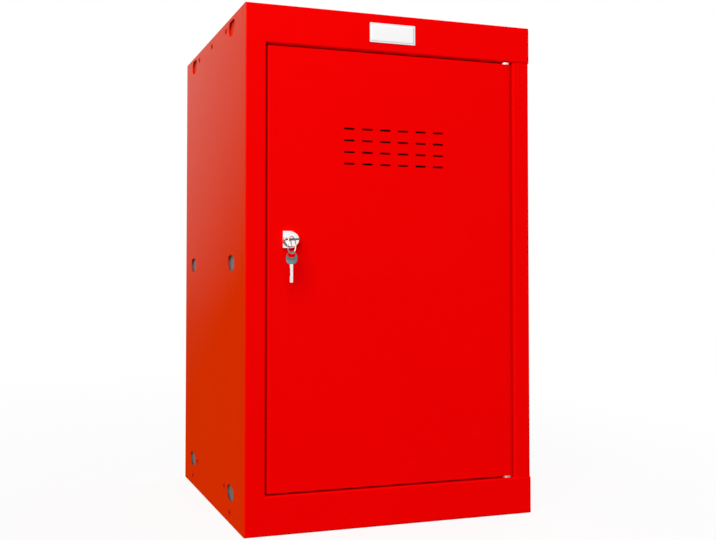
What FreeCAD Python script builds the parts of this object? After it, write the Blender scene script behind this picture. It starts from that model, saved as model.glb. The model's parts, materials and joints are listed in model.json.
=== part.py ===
"""Steel cube locker with one hinged door, a cam lock, its key and a spare key on a split ring.

Millimetres, +Z up, front facing -Y. The origin is on the floor, under the middle of the whole object.
"""
import FreeCAD, Part
import Sketcher
import math
import os
import re

DOC = FreeCAD.newDocument("cube_locker")
DIMS = DOC.addObject("Spreadsheet::Sheet", "dims")

# Driving dimensions
SIZES = {
    # Cabinet
    "cab_width": 384.0,
    "cab_depth": 394.0,
    "cab_height": 640.0,
    "sheet": 1.0,
    "bend": 1.2,
    "seam_bend": 0.3,
    "header_height": 47.5,
    "plinth_height": 47.5,
    "left_stile": 25.5,
    "hinge_stile": 23.0,
    "post_setback": 0.7,
    "stop_lip": 12.0,
    "rear_flange": 16.0,
    "roof_flange": 25.0,
    "pan_edge": 1.2,
    "panel_clear": 0.3,
    "cut_margin": 2.0,
    # Assembly slots in the side panels, their blanking plates and the rivet heads
    "slot_length": 37.0,
    "slot_height": 19.5,
    "slot_front": 77.0,
    "slot_rear": 330.0,
    "slot_low": 38.0,
    "slot_mid_rise": 6.8,
    "slot_drop": 14.0,
    "plate_rim": 5.0,
    "plate_depth": 3.0,
    "dish_margin": 1.5,
    "dish_depth": 2.0,
    "rivet_head": 3.4,
    "rivet_rise": 1.3,
    "roof_rivet_first": 111.0,
    "roof_rivet_pitch": 91.0,
    "roof_rivet_count": 3,
    "roof_rivet_drop": 10.5,
    "base_rivet_first": 78.0,
    "base_rivet_pitch": 250.0,
    "base_rivet_count": 2,
    "base_rivet_rise": 15.0,
    # Bare plate on the header
    "badge_width": 61.5,
    "badge_height": 24.6,
    "badge_thick": 0.9,
    "badge_corner": 1.0,
    "badge_border": 1.4,
    "badge_recess": 0.3,
    "badge_offset": -2.8,
    "badge_drop": 24.0,
    # Door
    "door_recess": 1.0,
    "door_gap": 2.8,
    "latch_gap": 2.5,
    "hinge_gap": 0.4,
    "roll_radius": 7.8,
    "roll_flat": 0.4,
    "roll_lip": 6.0,
    "door_lip": 10.0,
    "stop_clear": 0.5,
    "vent_length": 14.2,
    "vent_height": 2.4,
    "vent_corner": 0.7,
    "vent_pitch": 24.07,
    "vent_columns": 6,
    "vent_row_pitch": 14.53,
    "vent_rows": 4,
    "vent_drop": 140.1,
    "stiffener_inset": 63.0,
    "stiffener_width": 30.0,
    "stiffener_foot": 12.0,
    "stiffener_depth": 9.0,
    "stiffener_short": 15.0,
    # Door pivots
    "pin_radius": 3.0,
    "pin_fit": 0.05,
    "pin_head": 5.0,
    "pin_head_height": 2.0,
    "pin_tip": 1.2,
    "washer_radius": 6.6,
    "washer_fit": 0.2,
    "washer_play": 0.1,
    "hinge_plate": 3.0,
    "hinge_plate_reach": 16.0,
    "hinge_plate_half": 6.0,
    "bracket": 3.0,
    "bracket_reach": 18.0,
    "bracket_nose": 4.0,
    "bracket_half": 5.0,
    # Cam lock
    "lock_inset": 55.9,
    "lock_height": 354.5,
    "base_radius": 10.2,
    "base_flat": 9.8,
    "base_thick": 3.0,
    "boss_radius": 9.6,
    "boss_reach": 8.0,
    "boss_edge": 0.9,
    "barrel_radius": 9.0,
    "barrel_flats": 16.0,
    "barrel_fit": 0.05,
    "plug_radius": 7.0,
    "plug_fit": 0.05,
    "plug_inset": 0.3,
    "plug_tail": 0.3,
    "nut_flats": 24.0,
    "nut_thick": 4.0,
    "cam_clear": 0.8,
    "cam_thick": 2.0,
    "cam_half": 7.5,
    "cam_length": 30.0,
    "cam_square": 7.0,
    "cam_fit": 0.05,
    "cam_grip": 0.1,
    "screw_radius": 2.0,
    "screw_fit": 0.03,
    "screw_length": 6.0,
    "screw_head": 4.5,
    "screw_head_height": 2.8,
    # Keys and ring
    "blade_width": 4.2,
    "blade_thick": 1.6,
    "blade_length": 21.8,
    "blade_bevel": 0.6,
    "blade_cut": 0.2,
    "blade_cut_pitch": 2.6,
    "blade_cut_flat": 0.9,
    "blade_cut_start": 4.0,
    "keyway_fit": 0.2,
    "keyway_depth": 22.2,
    "key_stand": 0.5,
    "bow_radius": 7.2,
    "bow_length": 15.0,
    "bow_corner": 5.2,
    "bow_thick": 1.8,
    "bow_hole_width": 10.4,
    "bow_hole_height": 5.2,
    "bow_hole_end": 4.4,
    "ring_radius": 10.4,
    "ring_wire": 0.6,
    "ring_reach": 7.2,
    "ring_turn": 43.0,
    "ring_hang": 0.45,
}

# Depth steps of the key's cuts, from the bow to the tip
KEY_CUTS = (1, 3, 2, 4, 2, 1)

# Straight facets in each half-round end of an assembly slot
SLOT_FACETS = 5


def fill_sheet():
    """Write every driving dimension to its own named cell."""
    for row, (name, value) in enumerate(SIZES.items(), start=1):
        cell = "A%d" % row
        DIMS.set(cell, str(value))
        DIMS.setAlias(cell, name)
    DOC.recompute()


fill_sheet()

# Places worked out from the driving dimensions. The keys' reach in front moves the cabinet back by half.
HALF = "(cab_width / 2)"
RING_LEAN = "cos(ring_turn * 1deg)"
KEY_REACH = ("(boss_reach - door_recess - plug_inset + key_stand + bow_length - bow_hole_end"
             f" + (ring_radius + ring_reach) * {RING_LEAN} + ring_wire)")
FRONT = f"(({KEY_REACH} - cab_depth) / 2)"
BACK = f"(({KEY_REACH} + cab_depth) / 2)"
OPEN_LEFT = f"(-{HALF} + left_stile)"
POST_WALL = f"({HALF} - hinge_stile)"
OPEN_TOP = "(cab_height - header_height)"
OPEN_BOTTOM = "plinth_height"
DOOR_FRONT = f"({FRONT} + door_recess)"
DOOR_DEPTH = "(2 * roll_radius + roll_flat)"
DOOR_BACK = f"({DOOR_FRONT} + {DOOR_DEPTH})"
DOOR_LEFT = f"({OPEN_LEFT} + latch_gap)"
DOOR_RIGHT = f"({POST_WALL} - hinge_gap)"
DOOR_TOP = f"({OPEN_TOP} - door_gap)"
DOOR_BOTTOM = f"({OPEN_BOTTOM} + door_gap)"
PIVOT_X = f"({DOOR_RIGHT} - roll_radius)"
PIVOT_Y = f"({DOOR_FRONT} + {DOOR_DEPTH} / 2)"
STOP_FACE = f"({DOOR_BACK} + stop_clear)"
FRAME_REAR = f"({STOP_FACE} + sheet)"
PAN_REAR = f"({BACK} - 2 * sheet)"
BASE_HALF = f"({HALF} - sheet - plate_depth)"
SKIN_BACK = f"({DOOR_FRONT} + sheet)"
SLOT_MID = "(cab_height / 2 + slot_mid_rise)"
SLOT_HIGH = "(cab_height - slot_drop)"
VENT_LOW = f"({DOOR_TOP} - vent_drop)"
LOCK_X = f"(-{HALF} + lock_inset)"
BOSS_FACE = f"({DOOR_FRONT} - boss_reach)"
PLUG_FACE = f"({BOSS_FACE} + plug_inset)"
CAM_FACE = f"({FRAME_REAR} + sheet + cam_clear)"
CAM_BACK = f"({CAM_FACE} + cam_thick)"
BARREL_REAR = f"({CAM_FACE} - plug_tail)"
KEY_HOLE_REACH = "(bow_length - bow_hole_end)"
KEY_HOLE_Y = f"({PLUG_FACE} - key_stand - {KEY_HOLE_REACH})"
RING_DROP = "sqrt(ring_radius * ring_radius - ring_reach * ring_reach)"
RING_X = f"({LOCK_X} - ring_reach * sin(ring_turn * 1deg))"
RING_Y = f"({KEY_HOLE_Y} - ring_reach * {RING_LEAN})"
RING_Z = f"(lock_height - {RING_DROP})"
SPARE_Z = f"({RING_Z} - ring_radius - bow_hole_height / 2 + ring_wire + ring_hang)"


def bound(text):
    """The same expression with each size read from the sheet."""
    return re.sub(r"[a-z_]+", lambda m: "dims." + m[0] if m[0] in SIZES else m[0], text)


def number(text):
    """The present value of an expression in the sheet's sizes."""
    return float(DIMS.evalExpression(text))


def start_body(label):
    """A new body, allowed to hold a group of separate solids."""
    body = DOC.addObject("PartDesign::Body", label)
    body.Label = label
    body.AllowCompound = True
    return body


def origin_feature(body, role):
    """One of the body's own origin planes or axes."""
    return next(f for f in body.Origin.OriginFeatures if f.Role == role)


def start_sketch(body, name, plane, at=("0", "0", "0")):
    """A sketch on an origin plane, moved by an offset in the plane's own axes."""
    sketch = body.newObject("Sketcher::SketchObject", name)
    sketch.AttachmentSupport = [(origin_feature(body, plane), "")]
    sketch.MapMode = "FlatFace"
    for axis, text in zip("xyz", at):
        sketch.setExpression("AttachmentOffset.Base." + axis, bound(text))
    return sketch


def tie(sketch, kind, places, text):
    """A dimension of the sketch that follows an expression."""
    index = sketch.addConstraint(Sketcher.Constraint(kind, *places, number(text)))
    sketch.setExpression("Constraints[%d]" % index, bound(text))


def draw_loop(sketch, points):
    """A closed outline. A point is (u, v), or (u, v, radius, centre u, centre v, ccw) at an arc's end."""
    first = sketch.GeometryCount
    count = len(points)
    turned = []
    for index in range(count):
        here, there = points[index], points[(index + 1) % count]
        start = FreeCAD.Vector(number(here[0]), number(here[1]), 0)
        end = FreeCAD.Vector(number(there[0]), number(there[1]), 0)
        if len(there) == 2:
            sketch.addGeometry(Part.LineSegment(start, end))
            turned.append(False)
            continue
        centre = FreeCAD.Vector(number(there[3]), number(there[4]), 0)
        turned.append(not there[5])
        low, high = (start, end) if there[5] else (end, start)
        angles = [math.atan2(p.y - centre.y, p.x - centre.x) for p in (low, high)]
        if angles[1] <= angles[0]:
            angles[1] += 2 * math.pi
        circle = Part.Circle(centre, FreeCAD.Vector(0, 0, 1), number(there[2]))
        sketch.addGeometry(Part.ArcOfCircle(circle, *angles))
    for index in range(count):
        after = (index + 1) % count
        leave = 1 if turned[index] else 2
        enter = 2 if turned[after] else 1
        sketch.addConstraint(Sketcher.Constraint("Coincident", first + index, leave, first + after, enter))
    for index in range(count):
        enter = 2 if turned[index] else 1
        tie(sketch, "DistanceX", (-1, 1, first + index, enter), points[index][0])
        tie(sketch, "DistanceY", (-1, 1, first + index, enter), points[index][1])
        there = points[(index + 1) % count]
        if len(there) > 2:
            tie(sketch, "Radius", (first + index,), there[2])


def draw_circle(sketch, u, v, radius):
    """A full circle about a point of the sketch."""
    centre = FreeCAD.Vector(number(u), number(v), 0)
    index = sketch.addGeometry(Part.Circle(centre, FreeCAD.Vector(0, 0, 1), number(radius)))
    tie(sketch, "DistanceX", (-1, 1, index, 3), u)
    tie(sketch, "DistanceY", (-1, 1, index, 3), v)
    tie(sketch, "Radius", (index,), radius)


def signed(value, text):
    """A multiple of an expression, written with its sign."""
    return f"{value:+d} * ({text})"


def direction(a, b):
    """Unit step from one point of a square-cornered path to the next."""
    du = number(b[0]) - number(a[0])
    dv = number(b[1]) - number(a[1])
    if abs(du) > abs(dv):
        return (1 if du > 0 else -1, 0)
    return (0, 1 if dv > 0 else -1)


def round_corner(point, before, after, radius):
    """The two points that replace a square corner by an arc."""
    u, v = point
    centre = [f"{c} {signed(a - b, radius)}" for c, a, b in zip(point, after, before)]
    ccw = before[0] * after[1] - before[1] * after[0] > 0
    into = (f"{u} {signed(-before[0], radius)}", f"{v} {signed(-before[1], radius)}")
    out = (f"{u} {signed(after[0], radius)}", f"{v} {signed(after[1], radius)}", radius, *centre, ccw)
    return [into, out]


def rounded(points, radii):
    """A closed square-cornered outline with its corners rounded."""
    count = len(points)
    steps = [direction(points[i], points[(i + 1) % count]) for i in range(count)]
    result = []
    for i in range(count):
        if radii[i] is None:
            result.append(points[i])
        else:
            result += round_corner(points[i], steps[i - 1], steps[i], radii[i])
    return result


def rectangle(low_u, low_v, high_u, high_v, radius=None):
    """A rectangle, with rounded corners where a radius is given."""
    points = [(low_u, low_v), (high_u, low_v), (high_u, high_v), (low_u, high_v)]
    return rounded(points, [radius] * 4)


def centred(u, v, width, height, radius=None):
    """A rectangle about its centre."""
    return rectangle(f"{u} - ({width}) / 2", f"{v} - ({height}) / 2",
                     f"{u} + ({width}) / 2", f"{v} + ({height}) / 2", radius)


def clipped(u, v, width, height, cut):
    """A rectangle about its centre with its corners cut at 45 degrees."""
    left, right = f"{u} - ({width}) / 2", f"{u} + ({width}) / 2"
    low, high = f"{v} - ({height}) / 2", f"{v} + ({height}) / 2"
    return [(f"{left} + {cut}", low), (f"{right} - {cut}", low), (right, f"{low} + {cut}"),
            (right, f"{high} - {cut}"), (f"{right} - {cut}", high), (f"{left} + {cut}", high),
            (left, f"{high} - {cut}"), (left, f"{low} + {cut}")]


def faceted(u, v, width, height):
    """A slot about its centre whose half-round ends are made of straight facets."""
    radius = f"(({height}) / 2)"
    offset = f"(({width}) / 2 - {radius})"
    points = []
    for sign in (1, -1):
        middle = f"{u} {signed(sign, offset)}"
        for index in range(SLOT_FACETS + 1):
            turn = f"({index} * 180deg / {SLOT_FACETS} - 90deg)"
            points.append((f"{middle} {signed(sign, f'{radius} * cos({turn})')}",
                           f"{v} {signed(sign, f'{radius} * sin({turn})')}"))
    return points


def obround(u, v, width, height):
    """A slot with half-round ends about its centre."""
    radius = f"(({height}) / 2)"
    half = f"(({width}) / 2)"
    left, right = f"({u} - {half} + {radius})", f"({u} + {half} - {radius})"
    low, high = f"({v} - {radius})", f"({v} + {radius})"
    left_end = (radius, left, v, True)
    right_end = (radius, right, v, True)
    return [(left, low, *left_end), (right, low), (f"{u} + {half}", v, *right_end),
            (right, high, *right_end), (left, high), (f"{u} - {half}", v, *left_end)]


def folded(path, side, bends):
    """Section of a folded sheet. The path is one face; the sheet lies on its left (1) or right (-1)."""
    steps = [direction(a, b) for a, b in zip(path, path[1:])]
    near = [path[0]]
    far = [shifted(path[0], (steps[0],), side)]
    for i, bend in enumerate(bends, start=1):
        before, after = steps[i - 1], steps[i]
        left_turn = before[0] * after[1] - before[1] * after[0] > 0
        outer = f"({bend} + sheet)"
        radii = (outer, bend) if left_turn == (side > 0) else (bend, outer)
        near += round_corner(path[i], before, after, radii[0])
        far += round_corner(shifted(path[i], (before, after), side), before, after, radii[1])
    near.append(path[-1])
    far.append(shifted(path[-1], (steps[-1],), side))
    return near + reverse_run(far)


def shifted(point, steps, side):
    """A point of a path moved by one sheet thickness off each of the given runs."""
    u = point[0]
    v = point[1]
    for step in steps:
        u = f"{u} {signed(-step[1] * side, 'sheet')}"
        v = f"{v} {signed(step[0] * side, 'sheet')}"
    return (u, v)


def reverse_run(run):
    """The same run of points and arcs walked from its far end."""
    result = []
    for i in range(len(run) - 1, -1, -1):
        point = run[i][:2]
        if i + 1 < len(run) and len(run[i + 1]) > 2:
            radius, centre_u, centre_v, ccw = run[i + 1][2:]
            point = (*point, radius, centre_u, centre_v, not ccw)
        result.append(point)
    return result


def extrude(body, kind, sketch, length, backwards=False):
    """A pad or pocket of a sketch."""
    feature = body.newObject("PartDesign::" + kind, f"{sketch.Name}_{kind.lower()}")
    feature.Profile = sketch
    feature.setExpression("Length", bound(length))
    feature.Reversed = backwards
    DOC.recompute()
    return feature


def pad(body, name, plane, at, loops, length, backwards=False):
    """Material raised from closed outlines."""
    sketch = start_sketch(body, name, plane, at)
    for points in loops:
        draw_loop(sketch, points)
    return extrude(body, "Pad", sketch, length, backwards)


def pocket(body, name, plane, at, loops, length, backwards=False):
    """Material cut away under closed outlines, which has to take something off."""
    before = body.Shape.Volume
    sketch = start_sketch(body, name, plane, at)
    for points in loops:
        draw_loop(sketch, points)
    feature = extrude(body, "Pocket", sketch, length, backwards)
    check_cut(body, name, before)
    return feature


def drill(body, name, plane, at, circles, length, backwards=False):
    """Round holes, each given as (u, v, radius)."""
    before = body.Shape.Volume
    sketch = start_sketch(body, name, plane, at)
    for u, v, radius in circles:
        draw_circle(sketch, u, v, radius)
    feature = extrude(body, "Pocket", sketch, length, backwards)
    check_cut(body, name, before)
    return feature


def disc(body, name, plane, at, circles, length, backwards=False):
    """A pad of circles: one circle is a disc, one inside another is a ring."""
    sketch = start_sketch(body, name, plane, at)
    for u, v, radius in circles:
        draw_circle(sketch, u, v, radius)
    return extrude(body, "Pad", sketch, length, backwards)


def check_cut(body, name, before):
    """Stop where a cut has taken nothing off."""
    if body.Shape.Volume >= before:
        raise RuntimeError(f"{name} on {body.Label} cuts nothing")


def revolve(body, name, plane, at, points, axis):
    """A turned solid about the sketch's own H or V axis."""
    sketch = start_sketch(body, name, plane, at)
    draw_loop(sketch, points)
    feature = body.newObject("PartDesign::Revolution", name + "_turned")
    feature.Profile = sketch
    feature.ReferenceAxis = (sketch, [axis + "_Axis"])
    feature.Angle = 360
    DOC.recompute()
    return feature


def repeat(body, feature, axis, spacing, count):
    """A straight row of copies of a feature along one of the body's axes."""
    row = body.newObject("PartDesign::LinearPattern", feature.Name + "_row")
    row.Originals = [feature]
    row.Direction = (origin_feature(body, axis), [""])
    row.setExpression("Length", bound(f"({spacing}) * ({count} - 1)"))
    row.setExpression("Occurrences", bound(count))
    body.Tip = row
    DOC.recompute()
    return row


def soften(body, name, chosen, size, kind="Fillet"):
    """A fillet or chamfer on the edges of the body's present shape that a test picks."""
    names = ["Edge%d" % i for i, e in enumerate(body.Shape.Edges, start=1) if chosen(e)]
    if not names:
        raise RuntimeError(f"{name} on {body.Label} finds no edge")
    base = body.Tip
    edge = body.newObject("PartDesign::" + kind, name)
    edge.Base = (base, names)
    edge.setExpression({"Fillet": "Radius", "Chamfer": "Size"}[kind], bound(size))
    body.Tip = edge
    DOC.recompute()
    if "Invalid" in edge.State:
        raise RuntimeError(f"{name} on {body.Label} fails")
    return edge


def lies_at(edge, **places):
    """Whether both ends and the middle of an edge are at the given coordinates."""
    middle = edge.valueAt((edge.FirstParameter + edge.LastParameter) / 2)
    points = [v.Point for v in edge.Vertexes] + [middle]
    return all(abs(getattr(p, axis) - number(text)) < 1e-4 for p in points for axis, text in places.items())


def front_frame():
    """Header, left stile and plinth: one C-shaped tray with the door stop folded behind its stile."""
    body = start_body("front_frame")
    rear = ("0", "0", f"-{FRAME_REAR}")
    depth = f"{FRAME_REAR} - {FRONT}"

    def outline(inset):
        return [(f"-{HALF} + {inset}", inset), (f"{HALF} - {inset}", inset),
                (f"{HALF} - {inset}", f"{OPEN_BOTTOM} - {inset}"),
                (f"{OPEN_LEFT} - {inset}", f"{OPEN_BOTTOM} - {inset}"),
                (f"{OPEN_LEFT} - {inset}", f"{OPEN_TOP} + {inset}"),
                (f"{HALF} - {inset}", f"{OPEN_TOP} + {inset}"),
                (f"{HALF} - {inset}", f"cab_height - {inset}"),
                (f"-{HALF} + {inset}", f"cab_height - {inset}")]

    pad(body, "frame_face", "XZ_Plane", rear, [outline("0")], depth)

    def outer_bend(edge):
        return lies_at(edge, y=FRONT) and not lies_at(edge, x=HALF)

    soften(body, "frame_bends", outer_bend, "bend + sheet")
    pocket(body, "frame_hollow", "XZ_Plane", rear, [outline("sheet")], f"{depth} - sheet", True)

    def inner_bend(edge):
        return lies_at(edge, y=f"{FRONT} + sheet") and not lies_at(edge, x=f"{HALF} - sheet")

    soften(body, "frame_inner_bends", inner_bend, "bend")
    stop = rectangle(f"{OPEN_LEFT} - sheet", OPEN_BOTTOM, f"{OPEN_LEFT} + stop_lip", OPEN_TOP)
    pad(body, "door_stop", "XZ_Plane", rear, [stop], "sheet")
    hole = (PIVOT_X, PIVOT_Y, "pin_radius + pin_fit")
    drill(body, "lintel_hole", "XY_Plane", ("0", "0", f"{OPEN_TOP} + sheet"), [hole], "sheet")
    drill(body, "sill_hole", "XY_Plane", ("0", "0", OPEN_BOTTOM), [hole], "sheet")
    return body


def hinge_post():
    """Right-hand stile, a channel set back a little between the header and the plinth."""
    body = start_body("hinge_post")
    face = f"{FRONT} + post_setback"
    path = [(POST_WALL, FRAME_REAR), (POST_WALL, face), (HALF, face), (HALF, FRAME_REAR)]
    section = folded(path, 1, ["bend", "bend"])
    pad(body, "post_section", "XY_Plane", ("0", "0", OPEN_BOTTOM), [section], f"{OPEN_TOP} - {OPEN_BOTTOM}")
    return body


def slot_places(rows):
    """Centres of the side panels' slots as sketch places, for the given rows."""
    return [(f"{FRONT} + {column}", row) for column in ("slot_front", "slot_rear") for row in rows]


def side_panel(label, sign, inner_edge):
    """Side wall folded round the stile at the front and round the back panel, with its six slots."""
    body = start_body(label)
    wall = f"{signed(sign, HALF)}"
    path = [(inner_edge, FRAME_REAR), (wall, FRAME_REAR), (wall, BACK),
            (f"{wall} {signed(-sign, 'rear_flange')}", BACK)]
    section = folded(path, sign, ["seam_bend", "bend"])
    pad(body, label + "_section", "XY_Plane", ("0", "0", "0"), [section], "cab_height")
    near = f"{wall} {signed(-sign, 'sheet')}"
    far = f"{inner_edge} {signed(-sign, 'cut_margin')}"
    low, high = (far, near) if sign > 0 else (near, far)
    notch = rectangle(low, f"{FRAME_REAR} - cut_margin", high, f"{FRAME_REAR} + sheet + seam_bend")
    pocket(body, label + "_roof_notch", "XY_Plane", ("0", "0", "cab_height"), [notch], "roof_flange")
    pocket(body, label + "_base_notch", "XY_Plane", ("0", "0", "0"), [notch], OPEN_BOTTOM, True)
    right_face = wall if sign > 0 else near
    slots = [faceted(u, v, "slot_length", "slot_height")
             for u, v in slot_places(("slot_low", SLOT_MID, SLOT_HIGH))]
    pocket(body, label + "_slots", "YZ_Plane", ("0", "0", right_face), slots, "sheet")
    return body


def pan(label, half, low, height):
    """A tray turned upside down: a flat sheet with a flange folded down all round."""
    body = start_body(label)
    outer = rectangle(f"-{half}", FRAME_REAR, half, PAN_REAR)
    inner = rectangle(f"-{half} + sheet", f"{FRAME_REAR} + sheet", f"{half} - sheet", f"{PAN_REAR} - sheet")
    pad(body, label + "_outer", "XY_Plane", ("0", "0", low), [outer], height)
    pocket(body, label + "_inner", "XY_Plane", ("0", "0", low), [inner], f"{height} - sheet", True)
    top = f"{low} + {height}"
    soften(body, label + "_edge", lambda edge: lies_at(edge, z=top), "pan_edge")
    return body


def roof_pan():
    """Roof sheet between the side walls, its flanges riveted to them and pressed in behind the top slots."""
    low = "(cab_height - roof_flange)"
    body = pan("roof_pan", f"({HALF} - sheet)", low, "roof_flange")
    reach = "(slot_length / 2 + dish_margin)"
    top = f"({SLOT_HIGH} + slot_height / 2 + dish_margin)"
    for sign, side in ((-1, "left"), (1, "right")):
        face = f"{signed(sign, HALF)} {signed(-sign, 'sheet')}"
        inwards = sign > 0
        backs = []
        hollows = []
        for column in ("slot_front", "slot_rear"):
            middle = f"({FRONT} + {column})"
            backs.append(rectangle(f"{middle} - {reach} - sheet", low, f"{middle} + {reach} + sheet",
                                   f"{top} + sheet"))
            hollows.append(rectangle(f"{middle} - {reach}", f"{low} - cut_margin", f"{middle} + {reach}", top))
        pad(body, f"{side}_press_back", "YZ_Plane", ("0", "0", face), backs, "dish_depth + sheet", inwards)
        pocket(body, f"{side}_press", "YZ_Plane", ("0", "0", face), hollows, "dish_depth", not inwards)
    return body


def base_pan():
    """Floor sheet, level with the sill and standing on its own flanges."""
    return pan("base_pan", BASE_HALF, "0", OPEN_BOTTOM)


def back_panel():
    """Flat rear wall, held between the side walls' rear flanges and the pans."""
    body = start_body("back_panel")
    half = f"({HALF} - sheet - bend - panel_clear)"
    sheet = rectangle(f"-{half}", "0", half, "cab_height")
    pad(body, "back_sheet", "XZ_Plane", ("0", "0", f"-{BACK} + sheet"), [sheet], "sheet")
    return body


def slot_plates(label, sign):
    """Dished plates that close the middle and lower slots of one side from inside."""
    body = start_body(label)
    face = f"{signed(sign, HALF)} {signed(-sign, 'sheet')}"
    places = slot_places(("slot_low", SLOT_MID))
    plates = [centred(u, v, "slot_length + 2 * plate_rim", "slot_height + 2 * plate_rim") for u, v in places]
    dishes = [centred(u, v, "slot_length + 2 * dish_margin", "slot_height + 2 * dish_margin")
              for u, v in places]
    inwards = sign > 0
    pad(body, label + "_flat", "YZ_Plane", ("0", "0", face), plates, "plate_depth", inwards)
    pocket(body, label + "_dish", "YZ_Plane", ("0", "0", face), dishes, "dish_depth", not inwards)
    return body


def rivets(label, sign, name, height):
    """A row of set rivet heads on the outside of one side wall."""
    body = start_body(label)

    def along(text):
        return signed(sign, text)

    profile = [(along("0"), "0"), (along("rivet_rise"), "0"), (along("rivet_rise"), "rivet_head"),
               (along("0"), "rivet_head")]
    at = (signed(sign, HALF), f"({FRONT} + {name}_rivet_first)", height)
    turned = revolve(body, label + "_profile", "XY_Plane", at, profile, "H")
    repeat(body, turned, "Y_Axis", f"{name}_rivet_pitch", f"{name}_rivet_count")
    return body


def badge_plate():
    """Bare plate on the header, with a raised border."""
    body = start_body("badge_plate")
    middle = ("badge_offset", "cab_height - badge_drop")
    outer = centred(*middle, "badge_width", "badge_height", "badge_corner")
    inner = centred(*middle, "badge_width - 2 * badge_border", "badge_height - 2 * badge_border")
    pad(body, "badge_outer", "XZ_Plane", ("0", "0", f"-{FRONT}"), [outer], "badge_thick")
    pocket(body, "badge_field", "XZ_Plane", ("0", "0", f"-{FRONT} + badge_thick"), [inner], "badge_recess")
    return body


def hinge_plate(label, low):
    """Thick plate behind the lintel or the sill that steadies a pivot pin."""
    body = start_body(label)
    plate = rectangle(f"{PIVOT_X} - hinge_plate_reach", f"{PIVOT_Y} - hinge_plate_half",
                      f"{PIVOT_X} + hinge_plate_half", f"{PIVOT_Y} + hinge_plate_half")
    pad(body, label + "_flat", "XY_Plane", ("0", "0", low), [plate], "hinge_plate")
    hole = (PIVOT_X, PIVOT_Y, "pin_radius + pin_fit")
    drill(body, label + "_hole", "XY_Plane", ("0", "0", low), [hole], "hinge_plate", True)
    return body


def pivot_pin(label, seat, sign):
    """Headed pin through the frame into the door. The sign says which way its shank points."""
    body = start_body(label)
    length = "(hinge_plate + sheet + door_gap + sheet + bracket + pin_tip)"

    def along(text):
        return signed(sign, text)

    profile = [("0", along("-pin_head_height")), ("pin_head", along("-pin_head_height")),
               ("pin_head", along("0")), ("pin_radius", along("0")), ("pin_radius", along(length)),
               ("0", along(length))]
    revolve(body, label + "_profile", "XZ_Plane", (PIVOT_X, seat, f"-{PIVOT_Y}"), profile, "V")
    return body


def pivot_washer(label, low):
    """Spacer on a pivot pin that shows in the gap between the door and the frame."""
    body = start_body(label)
    circles = [(PIVOT_X, PIVOT_Y, "washer_radius"), (PIVOT_X, PIVOT_Y, "pin_radius + washer_fit")]
    disc(body, label + "_ring", "XY_Plane", ("0", "0", low), circles, "door_gap - washer_play")
    return body


def door_skin():
    """Door pan: front sheet rolled round the pivots, folded latch edge, end plates, vents and lock hole."""
    body = start_body("door_skin")
    roll = "(roll_radius - sheet)"
    path = [(f"{DOOR_LEFT} + door_lip", DOOR_BACK), (DOOR_LEFT, DOOR_BACK), (DOOR_LEFT, DOOR_FRONT),
            (DOOR_RIGHT, DOOR_FRONT), (DOOR_RIGHT, DOOR_BACK), (f"{PIVOT_X} - roll_lip", DOOR_BACK)]
    section = folded(path, 1, ["bend", "bend", roll, roll])
    pad(body, "skin_section", "XY_Plane", ("0", "0", DOOR_BOTTOM), [section], f"{DOOR_TOP} - {DOOR_BOTTOM}")
    corners = [(DOOR_LEFT, DOOR_FRONT), (DOOR_RIGHT, DOOR_FRONT), (DOOR_RIGHT, DOOR_BACK),
               (DOOR_LEFT, DOOR_BACK)]
    end = rounded(corners, ["(bend + sheet)", "roll_radius", "roll_radius", "(bend + sheet)"])
    pad(body, "top_end", "XY_Plane", ("0", "0", f"{DOOR_TOP} - sheet"), [end], "sheet")
    pad(body, "bottom_end", "XY_Plane", ("0", "0", DOOR_BOTTOM), [end], "sheet")
    hole = (PIVOT_X, PIVOT_Y, "pin_radius + pin_fit")
    drill(body, "top_pivot_hole", "XY_Plane", ("0", "0", DOOR_TOP), [hole], "sheet")
    drill(body, "bottom_pivot_hole", "XY_Plane", ("0", "0", f"{DOOR_BOTTOM} + sheet"), [hole], "sheet")
    lock = (LOCK_X, "lock_height", "barrel_radius + barrel_fit")
    face = ("0", "0", f"-{DOOR_FRONT}")
    drill(body, "lock_hole", "XZ_Plane", face, [lock], "sheet")
    first = "(-vent_pitch * (vent_columns - 1) / 2)"
    slots = [clipped(f"({first} + {i} * vent_pitch)", VENT_LOW, "vent_length", "vent_height", "vent_corner")
             for i in range(int(number("vent_columns")))]
    vents = pocket(body, "vent_row", "XZ_Plane", face, slots, "sheet")
    repeat(body, vents, "Z_Axis", "vent_row_pitch", "vent_rows")
    return body


def door_stiffener():
    """Hat-shaped upright on the inside of the door skin."""
    body = start_body("door_stiffener")
    middle = f"({DOOR_RIGHT} - stiffener_inset)"
    left = f"({middle} - stiffener_width / 2)"
    right = f"({middle} + stiffener_width / 2)"
    crown = f"{SKIN_BACK} + stiffener_depth"
    path = [(f"{left} - stiffener_foot", SKIN_BACK), (left, SKIN_BACK), (left, crown), (right, crown),
            (right, SKIN_BACK), (f"{right} + stiffener_foot", SKIN_BACK)]
    section = folded(path, 1, ["bend"] * 4)
    low = f"{DOOR_BOTTOM} + stiffener_short"
    pad(body, "stiffener_section", "XY_Plane", ("0", "0", low), [section],
        f"{DOOR_TOP} - {DOOR_BOTTOM} - 2 * stiffener_short")
    return body


def pivot_bracket(label, low):
    """Plate inside one end of the door that runs on a pivot pin."""
    body = start_body(label)
    plate = rectangle(f"{PIVOT_X} - bracket_reach", f"{PIVOT_Y} - bracket_half",
                      f"{PIVOT_X} + bracket_nose", f"{PIVOT_Y} + bracket_half")
    pad(body, label + "_flat", "XY_Plane", ("0", "0", low), [plate], "bracket")
    hole = (PIVOT_X, PIVOT_Y, "pin_radius + pin_fit")
    drill(body, label + "_hole", "XY_Plane", ("0", "0", low), [hole], "bracket", True)
    return body


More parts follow.
